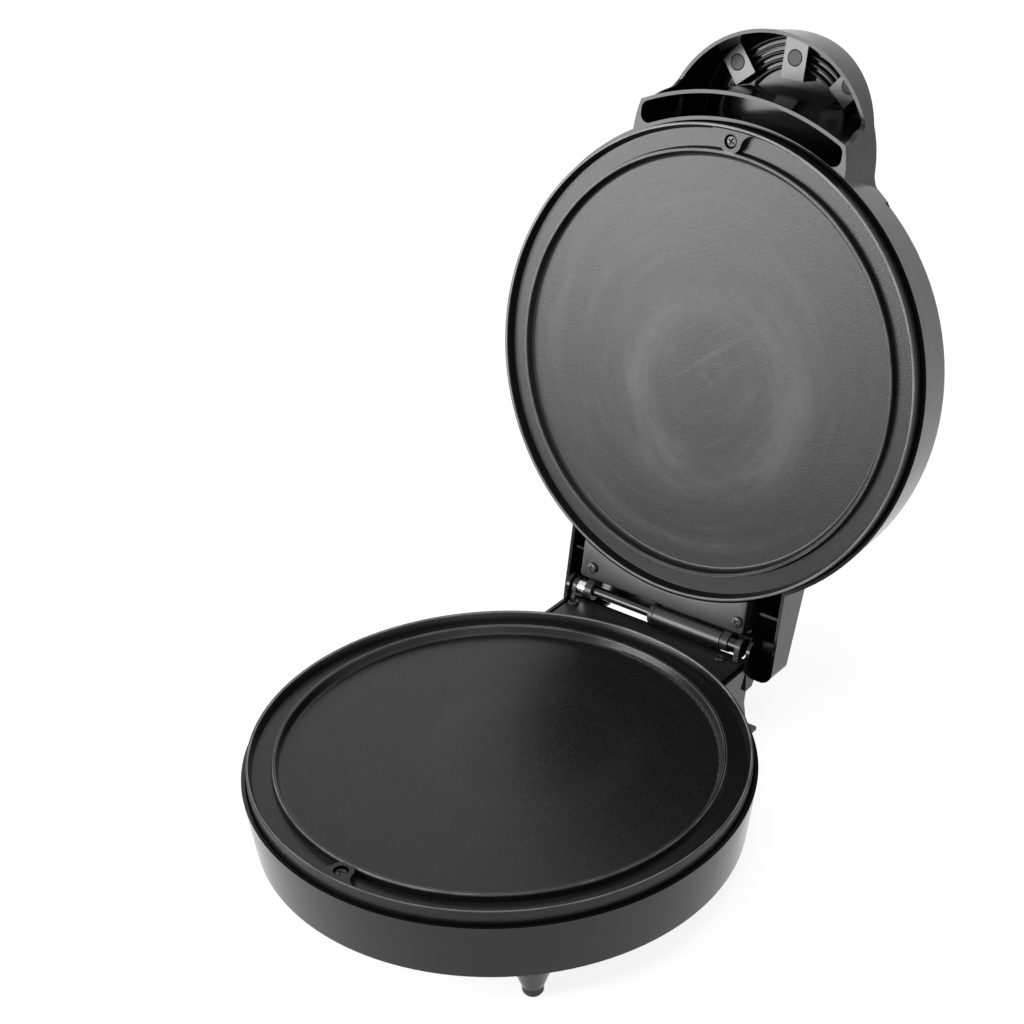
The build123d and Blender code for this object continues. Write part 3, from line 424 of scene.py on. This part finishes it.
def bush_metal():
    """Bright turned bush on the left of the hinge, blackened spacer on the right."""
    m = Shader("bush_steel")
    side = m.add("ShaderNodeSeparateXYZ", {"Vector": m.place()}).outputs["X"]
    right = m.remap(side, -0.001, 0.001, 0.0, 1.0)
    turning = m.noise(900, 3, 0.6)
    bright = m.blend(turning, grey(0.55), grey(0.78))
    m.set(Base_Color=m.blend(right, bright, grey(0.03)))
    m.set(Metallic=1.0)
    m.set(Roughness=m.remap(turning, 0.3, 0.7, 0.14, 0.24))
    m.set(Normal=m.bump(turning, 0.00001))
    return m.material


def rubber(name, value, roughness):
    """Soft black rubber or cord jacket, slightly dusty."""
    m = Shader(name)
    dust = m.remap(m.noise(150, 4, 0.6), 0.45, 0.8, 0.0, 0.5)
    m.set(Base_Color=m.blend(dust, grey(value), grey(value * 2.4)))
    m.set(Roughness=m.remap(m.noise(80, 3, 0.5), 0.3, 0.7, roughness - 0.05, roughness + 0.05))
    m.set(Normal=m.bump(m.noise(1800, 2, 0.5), 0.00003))
    return m.material


def clear_lens(name, colour):
    """Clear tinted cap with fine prisms inside."""
    m = Shader(name)
    values = {"Vector": m.place(), "Scale": 260.0}
    wave = m.add("ShaderNodeTexWave", values, bands_direction="X").outputs["Fac"]
    m.set(Base_Color=m.blend(wave, colour, shaded(colour, 1.9)))
    m.set(Roughness=0.12)
    m.set(Specular_IOR_Level=0.3)
    m.set(Transmission_Weight=0.12)
    m.set(Normal=m.bump(wave, 0.0001))
    return m.material


def pale(name, value, warm):
    """Ceramic and glass fibre inside the housings."""
    m = Shader(name)
    light = (value, value * (1 - warm * 0.4), value * (1 - warm), 1)
    m.set(Base_Color=m.blend(m.noise(400, 4, 0.6), shaded(light, 0.8), light))
    m.set(Roughness=0.65)
    m.set(Normal=m.bump(m.noise(1500, 2, 0.5), 0.00004))
    return m.material


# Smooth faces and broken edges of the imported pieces
EDGE_ROUND = 0.45 * MM
ROUNDED_NODES = ("upper_plate", "lower_plate")
ROUND_ABOVE = math.radians(35)
SHARP_ABOVE = math.radians(24)
MERGE_WITHIN = 2e-6


def smooth_group():
    """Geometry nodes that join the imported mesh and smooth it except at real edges."""
    group = bpy.data.node_groups.new("smooth_by_angle", "GeometryNodeTree")
    group.interface.new_socket("Geometry", in_out="INPUT", socket_type="NodeSocketGeometry")
    group.interface.new_socket("Geometry", in_out="OUTPUT", socket_type="NodeSocketGeometry")
    make = group.nodes.new
    start = make("NodeGroupInput")
    end = make("NodeGroupOutput")
    merge = make("GeometryNodeMergeByDistance")
    merge.inputs["Distance"].default_value = MERGE_WITHIN
    faces = make("GeometryNodeSetShadeSmooth")
    edges = make("GeometryNodeSetShadeSmooth")
    edges.domain = "EDGE"
    edges.inputs["Shade Smooth"].default_value = False
    angle = make("GeometryNodeInputMeshEdgeAngle")
    sharp = make("FunctionNodeCompare")
    sharp.operation = "GREATER_THAN"
    sharp.inputs["B"].default_value = SHARP_ABOVE
    join = group.links.new
    join(start.outputs[0], merge.inputs["Geometry"])
    join(merge.outputs[0], faces.inputs["Geometry"])
    join(faces.outputs[0], edges.inputs["Geometry"])
    join(angle.outputs["Unsigned Angle"], sharp.inputs["A"])
    join(sharp.outputs[0], edges.inputs["Selection"])
    join(edges.outputs[0], end.inputs[0])
    return group


def smooth_nodes(group):
    """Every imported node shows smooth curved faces; the rounded ones get broken edges too."""
    for name, node in nodes.items():
        node.modifiers.new("smooth", "NODES").node_group = group
        if name in ROUNDED_NODES:
            bevel = node.modifiers.new("edges", "BEVEL")
            bevel.width = EDGE_ROUND
            bevel.segments = 2
            bevel.limit_method = "ANGLE"
            bevel.angle_limit = ROUND_ABOVE
            bevel.harden_normals = True
        weighted = node.modifiers.new("weighted", "WEIGHTED_NORMAL")
        weighted.mode = "FACE_AREA_WITH_ANGLE"
        weighted.keep_sharp = True


def wear(material, *names):
    """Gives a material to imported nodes."""
    for name in names:
        mesh = nodes[name].data
        mesh.materials.clear()
        mesh.materials.append(material)


# Pieces made in mesh
def join_rings(work, first, second):
    """A closed band of faces between two rings of vertices."""
    for k in range(len(first)):
        after = (k + 1) % len(first)
        work.faces.new((first[k], first[after], second[after], second[k]))


def make_piece(work, name, body, material, group=None):
    """Turns mesh work into a smooth object that rides a body; the group keeps its real edges."""
    bmesh.ops.recalc_face_normals(work, faces=work.faces)
    for face in work.faces:
        face.smooth = True
    mesh = bpy.data.meshes.new(name)
    work.to_mesh(mesh)
    work.free()
    mesh.materials.append(material)
    piece = bpy.data.objects.new(name, mesh)
    bpy.context.scene.collection.objects.link(piece)
    if group:
        piece.modifiers.new("smooth", "NODES").node_group = group
    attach(piece, body)
    return piece


# Tray that carries the face of the lid's hinge plate forward, about the plate axis
TRAY_FACE = 82.5
TRAY_TOP = 91.2
TRAY_LEFT = -74.0
TRAY_RIGHT = 68.0
TRAY_BACK = 180.7
TRAY_FRONT_R = 169.0
TRAY_EDGE = 0.8
TRAY_EDGE_STEPS = 4
TRAY_CORNER = 2.0
TRAY_CORNER_STEPS = 6
TRAY_ARC_STEPS = 32


def tray_outline(inset):
    """Corners of the tray in plan: arc towards the plate, rounded corners at the hinge."""
    left, right, back = TRAY_LEFT + inset, TRAY_RIGHT - inset, TRAY_BACK - inset
    radius = TRAY_FRONT_R + inset
    start = math.asin(right / radius)
    end = math.asin(left / radius)
    outline = []
    for step in range(TRAY_ARC_STEPS + 1):
        turn = start + (end - start) * step / TRAY_ARC_STEPS
        outline.append((radius * math.sin(turn), radius * math.cos(turn)))
    for corner_x, way in ((left, 1), (right, -1)):
        for step in range(TRAY_CORNER_STEPS + 1):
            share = step / TRAY_CORNER_STEPS
            lean = math.pi / 2 * (share if way > 0 else 1 - share)
            x = corner_x + way * TRAY_CORNER * (1 - math.cos(lean))
            outline.append((x, back - TRAY_CORNER * (1 - math.sin(lean))))
    return outline


def make_hinge_tray(material, group):
    """Shallow moulded tray between the lid's hinge plate and the hinge, its edges rounded."""
    work = bmesh.new()
    layers = [(0.0, TRAY_TOP)]
    for step in range(TRAY_EDGE_STEPS + 1):
        lean = math.pi / 2 * step / TRAY_EDGE_STEPS
        layers.append((TRAY_EDGE * (1 - math.cos(lean)), TRAY_FACE + TRAY_EDGE * (1 - math.sin(lean))))
    previous = None
    for inset, height in layers:
        ring = [work.verts.new(on_open_lid(Vector((x, y, height)))) for x, y in tray_outline(inset)]
        if previous:
            join_rings(work, previous, ring)
        else:
            work.faces.new(ring[::-1])
        previous = ring
    work.faces.new(previous)
    make_piece(work, "hinge_tray", "lid", material, group)


# Ridges round the end of the paddle, on the lid's top, fading out towards the hinge
RIDGE_ROWS = (55.7, 48.5, 41.3, 34.1)
RIDGE_HALF_W = 1.8
RIDGE_RISE = 1.3
RIDGE_SUNK = 0.05
RIDGE_SIDES = 6
RIDGE_SIDE_STEPS = 24
RIDGE_END_STEPS = 48
PADDLE_TOP = 164.0
PADDLE_END_Y = -165.0
FADE_FROM = -60.0
FADE_TO = 24.0


def ridge_path(reach):
    """Points of one ridge with the way across it: along a side, round the end and back."""
    path = []
    for step in range(RIDGE_SIDE_STEPS + 1):
        y = FADE_TO + (PADDLE_END_Y - FADE_TO) * step / RIDGE_SIDE_STEPS
        path.append((Vector((reach, y, 0)), Vector((1, 0, 0))))
    for step in range(1, RIDGE_END_STEPS):
        turn = -math.pi * step / RIDGE_END_STEPS
        out = Vector((math.cos(turn), math.sin(turn), 0))
        path.append((Vector((0, PADDLE_END_Y, 0)) + out * reach, out))
    for step in range(RIDGE_SIDE_STEPS, -1, -1):
        y = FADE_TO + (PADDLE_END_Y - FADE_TO) * step / RIDGE_SIDE_STEPS
        path.append((Vector((-reach, y, 0)), Vector((-1, 0, 0))))
    return path


def make_paddle_ridges(material):
    """Rounded ridges on the paddle, of the lid's own moulding."""
    work = bmesh.new()
    for reach in RIDGE_ROWS:
        previous = None
        for middle, out in ridge_path(reach):
            share = min(1.0, max(0.0, (FADE_TO - middle.y) / (FADE_TO - FADE_FROM)))
            section = []
            for k in range(RIDGE_SIDES + 1):
                lean = math.pi * k / RIDGE_SIDES
                spot = middle + out * (RIDGE_HALF_W * math.cos(lean))
                spot.z = PADDLE_TOP - RIDGE_SUNK + RIDGE_RISE * share * math.sin(lean)
                section.append(work.verts.new(on_open_lid(spot)))
            if previous:
                for k in range(RIDGE_SIDES):
                    work.faces.new((previous[k], previous[k + 1], section[k + 1], section[k]))
            previous = section
    make_piece(work, "paddle_ridges", "lid", material)


# Blend along the paddle's foot, where it meets the dome in front
FOOT_X = 98.0
FOOT_Z = 134.0
BLEND_FROM_Y = -78.0
BLEND_TO_Y = -133.6
BLEND_STEPS = 28
BLEND_OUT = 3.2
BLEND_BACK = 3.0
BLEND_START = 0.6
BLEND_LIMIT_R = 166.1
BACK_RISE = 0.53
START_RISE = 0.12
END_RISE = 0.02
BACK_SUNK = 2.0
END_SUNK = 0.8
FALL_STEPS = 5
SHOULDER_Z = 130.0
SHOULDER_R = 165.5
DOME_R = 1360.0


def blend_outline(y):
    """Section of a blend: flat on the foot, then an S curve down to the dome."""
    reach = min(FOOT_X + BLEND_OUT, math.sqrt(BLEND_LIMIT_R**2 - y * y))
    dome = SHOULDER_Z + (SHOULDER_R**2 - reach**2 - y * y) / (2 * DOME_R)
    low = min(dome, FOOT_Z)
    back = FOOT_X - BLEND_BACK
    start = FOOT_X - BLEND_START
    top = FOOT_Z + START_RISE
    outline = [(back, FOOT_Z - BACK_SUNK), (back, FOOT_Z + BACK_RISE), (start, top)]
    for k in range(1, FALL_STEPS + 1):
        share = k / FALL_STEPS
        fall = (1 - math.cos(math.pi * share)) / 2
        outline.append((start + (reach - start) * share, top + (low + END_RISE - top) * fall))
    outline.append((reach, low - END_SUNK))
    return outline


def make_foot_blends(material, group):
    """Rounded blends that close the step between the paddle's foot and the dome."""
    work = bmesh.new()
    for side in (-1, 1):
        previous = None
        for step in range(BLEND_STEPS + 1):
            y = BLEND_FROM_Y + (BLEND_TO_Y - BLEND_FROM_Y) * step / BLEND_STEPS
            section = []
            for x, z in blend_outline(y):
                section.append(work.verts.new(on_open_lid(Vector((side * x, y, z)))))
            if previous:
                join_rings(work, previous, section)
            else:
                work.faces.new(section)
            previous = section
        work.faces.new(previous[::-1])
    make_piece(work, "paddle_foot_blends", "lid", material, group)


# Screws: node, places about the plate axis with the lid shut, seat height, shank, way up
SCREWS = (
    ("lower_plate_screw", "base", ((0.0, LUG_Y),), 76.6, 16, 1),
    ("upper_plate_screw", "lid", ((0.0, LUG_Y),), 85.4, 16, -1),
    ("lid_hinge_screws", "lid", ((-64.0, 172.0), (62.5, 172.0)), TRAY_FACE, 20, -1),
    ("deck_screws", "base", ((-70.0, 176.0), (58.5, 176.5)), 77.0, 14, 1),
    ("stand_screws", "base", ((-50.0, 173.0), (50.0, 173.0)), 28.0, 9, -1),
)
SCREW_TURNS = (20, 63, 8, 40, 71, 31, 52, 12)
HEAD_R = 4.1
HEAD_RISE = 2.4
HEAD_CROWN = 0.35
HEAD_ROUND_FROM = 0.84
HEAD_ROUND_FALL = 0.6
HEAD_GRID = 44
RECESS_REACH = 2.5
RECESS_HALF_W = 0.55
RECESS_DEPTH = 1.5
RECESS_TAPER = 0.5
RECESS_WALL = 0.22
RECESS_FLARE = 0.45
FLARE_REACH = 1.2
SHANK_R = 1.75
THREAD_PITCH = 1.1
THREAD_DEPTH = 0.3
TIP_R = 0.3


def head_height(x, y):
    """Height of a pan head's top over its seat, with the cross recess pressed in."""
    out = math.hypot(x, y) / HEAD_R
    edge = max(0.0, (out - HEAD_ROUND_FROM) / (1 - HEAD_ROUND_FROM))
    fall = HEAD_ROUND_FALL * (1 - math.sqrt(max(0.0, 1 - edge**2)))
    top = HEAD_RISE - HEAD_CROWN * out**2 - fall
    across, along = sorted((abs(x), abs(y)))
    flare = RECESS_FLARE * max(0.0, 1 - along / FLARE_REACH) ** 2
    outside = max(across - RECESS_HALF_W - flare, along - RECESS_REACH)
    share = min(1.0, max(0.0, -outside / RECESS_WALL))
    return top - share * RECESS_DEPTH * (1 - RECESS_TAPER * along / RECESS_REACH)


def add_screw(work, matrix, shank):
    """One screw: pressed head on a square grid bent to a disc, then the threaded shank."""
    grid = []
    for row in range(HEAD_GRID + 1):
        line = []
        for column in range(HEAD_GRID + 1):
            u = 2 * column / HEAD_GRID - 1
            v = 2 * row / HEAD_GRID - 1
            x = HEAD_R * u * math.sqrt(1 - v * v / 2)
            y = HEAD_R * v * math.sqrt(1 - u * u / 2)
            line.append(work.verts.new(matrix @ (Vector((x, y, head_height(x, y))) * MM)))
        grid.append(line)
    for low, high in zip(grid, grid[1:]):
        for k in range(HEAD_GRID):
            work.faces.new((low[k], low[k + 1], high[k + 1], high[k]))
    rim = grid[0][:-1] + [line[-1] for line in grid[:-1]]
    rim += grid[-1][:0:-1] + [line[0] for line in grid[:0:-1]]
    inverse = matrix.inverted()
    spots = [inverse @ vert.co / MM for vert in rim]
    profile = [(HEAD_R, 0.0), (SHANK_R, 0.0)]
    for step in range(int(shank / THREAD_PITCH * 2) - 2):
        depth = THREAD_DEPTH if step % 2 else 0.0
        profile.append((SHANK_R - depth, -(step + 1) * THREAD_PITCH / 2))
    profile.append((TIP_R, -shank))
    previous = rim
    for radius, height in profile:
        ring = []
        for spot in spots:
            scale = radius / math.hypot(spot.x, spot.y)
            place = Vector((spot.x * scale, spot.y * scale, height))
            ring.append(work.verts.new(matrix @ (place * MM)))
        join_rings(work, ring, previous)
        previous = ring
    work.faces.new(previous[::-1])


def make_screws(material, group):
    """Cross recess pan head screws in place of the plain packed ones."""
    turns = iter(SCREW_TURNS)
    for name, body, places, seat, shank, way in SCREWS:
        work = bmesh.new()
        for x, y in places:
            matrix = Matrix.Translation(Vector((x, y, seat)) * MM + PLATE_AXIS)
            if way < 0:
                matrix = matrix @ Matrix.Rotation(math.pi, 4, "X")
            matrix = matrix @ Matrix.Rotation(math.radians(next(turns)), 4, "Z")
            add_screw(work, OPENED @ matrix if body == "lid" else matrix, shank)
        screw = make_piece(work, "cross_" + name, body, material, group)
        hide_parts(name)


# Stiffening arcs inside the handle, about the front of the paddle
ARC_CENTRE = Vector((0.0, -165.0, 161.6))
ARC_RADII = (39.5, 44.5, 49.5, 54.5, 59.5)
ARC_HALF_W = 1.5
ARC_DEPTH = 3.6
ARC_FROM = math.radians(-148)
ARC_TO = math.radians(-32)
ARC_STEPS = 72
ARC_SIDES = 8
ARC_TAPER = 0.06
ARC_END = 0.05


def make_handle_arcs(material):
    """Rounded ribs that stand on the ceiling of the handle, tapering out at both ends."""
    work = bmesh.new()
    for radius in ARC_RADII:
        previous = None
        for step in range(ARC_STEPS + 1):
            share = step / ARC_STEPS
            turn = ARC_FROM + (ARC_TO - ARC_FROM) * share
            swell = math.sin(math.pi / 2 * min(share, 1 - share, ARC_TAPER) / ARC_TAPER)
            depth = ARC_DEPTH * (ARC_END + (1 - ARC_END) * swell)
            out = Vector((math.cos(turn), math.sin(turn), 0))
            section = []
            for k in range(ARC_SIDES + 1):
                lean = math.pi * k / ARC_SIDES
                spot = ARC_CENTRE + out * (radius + ARC_HALF_W * math.cos(lean))
                spot.z -= depth * math.sin(lean)
                section.append(work.verts.new(on_open_lid(spot)))
            if previous:
                join_rings(work, previous, section)
            else:
                work.faces.new(section)
            previous = section
        work.faces.new(previous[::-1])
    make_piece(work, "handle_arcs", "lid", material)


# Floor, world and soft boxes: name, place, aim, width and height, watts
FLOOR_HALF = 12
FLOOR_GREY = 0.42
FLOOR_GLOW = 0.84
WORLD_LIGHT = 0.35
SOFT_BOXES = (
    ("key", (-1.22, -1.55, 0.52), (0, 0.1, 0.25), (1.2, 0.7), 34),
    ("fill", (1.9, -1.9, 1.0), (0, 0, 0.2), (1.4, 1.4), 5),
    ("top", (0.5, -0.6, 2.3), (0, 0, 0.1), (1.2, 1.2), 10),
)


def make_floor():
    """Pale floor that reads white and keeps a soft shadow."""
    mesh = bpy.data.meshes.new("floor")
    work = bmesh.new()
    bmesh.ops.create_grid(work, x_segments=1, y_segments=1, size=FLOOR_HALF)
    work.to_mesh(mesh)
    work.free()
    floor = bpy.data.objects.new("floor", mesh)
    bpy.context.scene.collection.objects.link(floor)
    m = Shader("floor_white")
    seen = m.add("ShaderNodeLightPath")
    share = m.math("MAXIMUM", seen.outputs["Is Camera Ray"], seen.outputs["Is Glossy Ray"])
    share = m.math("MAXIMUM", share, seen.outputs["Is Transmission Ray"])
    m.set(Base_Color=grey(FLOOR_GREY))
    m.set(Roughness=1.0)
    m.set(Specular_IOR_Level=0.0)
    m.set(Emission_Color=grey(1.0))
    m.set(Emission_Strength=m.math("MULTIPLY", share, FLOOR_GLOW))
    mesh.materials.append(m.material)


def make_world():
    """White to the camera and in reflections, dimmer as a light."""
    world = bpy.data.worlds.new("world")
    bpy.context.scene.world = world
    world.use_nodes = True
    tree = world.node_tree
    join = tree.links.new
    path = tree.nodes.new("ShaderNodeLightPath")
    seen = path.outputs["Is Camera Ray"]
    for ray in ("Is Glossy Ray", "Is Transmission Ray"):
        either = tree.nodes.new("ShaderNodeMath")
        either.operation = "MAXIMUM"
        join(seen, either.inputs[0])
        join(path.outputs[ray], either.inputs[1])
        seen = either.outputs[0]
    strength = tree.nodes.new("ShaderNodeMapRange")
    strength.inputs["To Min"].default_value = WORLD_LIGHT
    strength.inputs["To Max"].default_value = 1.0
    join(seen, strength.inputs["Value"])
    background = tree.nodes["Background"]
    background.inputs["Color"].default_value = grey(1.0)
    join(strength.outputs[0], background.inputs["Strength"])


def make_soft_box(name, place, target, size, power):
    """A soft box of a width and height, aimed at a point."""
    data = bpy.data.lights.new(name, "AREA")
    data.shape = "RECTANGLE"
    data.size, data.size_y = size
    data.energy = power
    light = bpy.data.objects.new(name, data)
    light.location = place
    light.rotation_mode = "QUATERNION"
    light.rotation_quaternion = (Vector(target) - Vector(place)).to_track_quat("-Z", "Y")
    bpy.context.scene.collection.objects.link(light)


# Stage
make_camera()
make_floor()
make_world()
for soft_box in SOFT_BOXES:
    make_soft_box(*soft_box)

# Materials of the pieces
black = gloss_housing("housing_black", False)
black_lid = gloss_housing("housing_black_lid", True)
# The ribs inside the handle belong to the lid's black moulding: their satin grain is real, their
# lighter grey is painted sheen
handle_inside = satin_moulding("handle_inside", 0.020, 0.33)
coat_low = nonstick("nonstick_low", False, 0.10, 0.23)
coat_high = nonstick("nonstick_high", True, 0.85, 0.30)
cover = satin_moulding("hinge_cover", 0.010, 0.33)
stand = satin_moulding("stand_black", 0.006, 0.34)
sheet = metal("reflector_sheet", 0.72, 0.3)
sheath = metal("element_sheath", 0.28, 0.45, warm=0.05)
dark_steel = metal("screw_dark", 0.07, 0.36)
rod_steel = metal("rod_steel", 0.06, 0.26, (0.02, 1, 1))
sleeve_steel = metal("sleeve_steel", 0.07, 0.36, (0.02, 1, 1))
bright_steel = bush_metal()
pin_metal = metal("pin_metal", 0.80, 0.22, (1, 0.05, 1), 0.35)
ceramic = pale("ceramic", 0.80, 0.08)
sleeve_white = pale("wire_sleeve", 0.70, 0.1)
foot_rubber = rubber("foot_rubber", 0.014, 0.6)
jacket = rubber("cord_jacket", 0.012, 0.42)
lens_red = clear_lens("lens_red", (0.20, 0.006, 0.008, 1))
lens_green = clear_lens("lens_green", (0.006, 0.18, 0.11, 1))
lamp_glass = clear_lens("lamp_glass", (0.75, 0.62, 0.5, 1))

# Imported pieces
smoothing = smooth_group()
smooth_nodes(smoothing)
wear(black, "base_housing")
wear(black_lid, "lid_housing")
wear(coat_low, "lower_plate")
wear(coat_high, "upper_plate")
wear(cover, "lid_hinge_plate", "base_hinge_deck", "hinge_collar")
wear(stand, "rear_stand", "lamp_carrier")
wear(sheet, "lower_reflector", "upper_reflector", "lower_clamps", "upper_clamps")
wear(sheath, "lower_element", "upper_element")
wear(rod_steel, "hinge_rod")
wear(sleeve_steel, "hinge_sleeve")
wear(bright_steel, "hinge_bushes")
wear(pin_metal, "plug_pins")
wear(ceramic, "lower_insulators", "upper_insulators", "thermal_fuse", "terminal_block", "thermostat")
wear(sleeve_white, "base_wires", "lid_wires")
wear(foot_rubber, "front_feet")
wear(jacket, "strain_relief", "plug")
wear(lens_red, "power_lens")
wear(lens_green, "ready_lens")
wear(lamp_glass, "neon_lamps")

# Pieces of the scene's own
make_cord(jacket)
make_hinge_tray(cover, smoothing)
make_paddle_ridges(black_lid)
make_foot_blends(black_lid, smoothing)
make_screws(dark_steel, smoothing)
make_handle_arcs(handle_inside)

bpy.context.scene.view_settings.view_transform = "Standard"
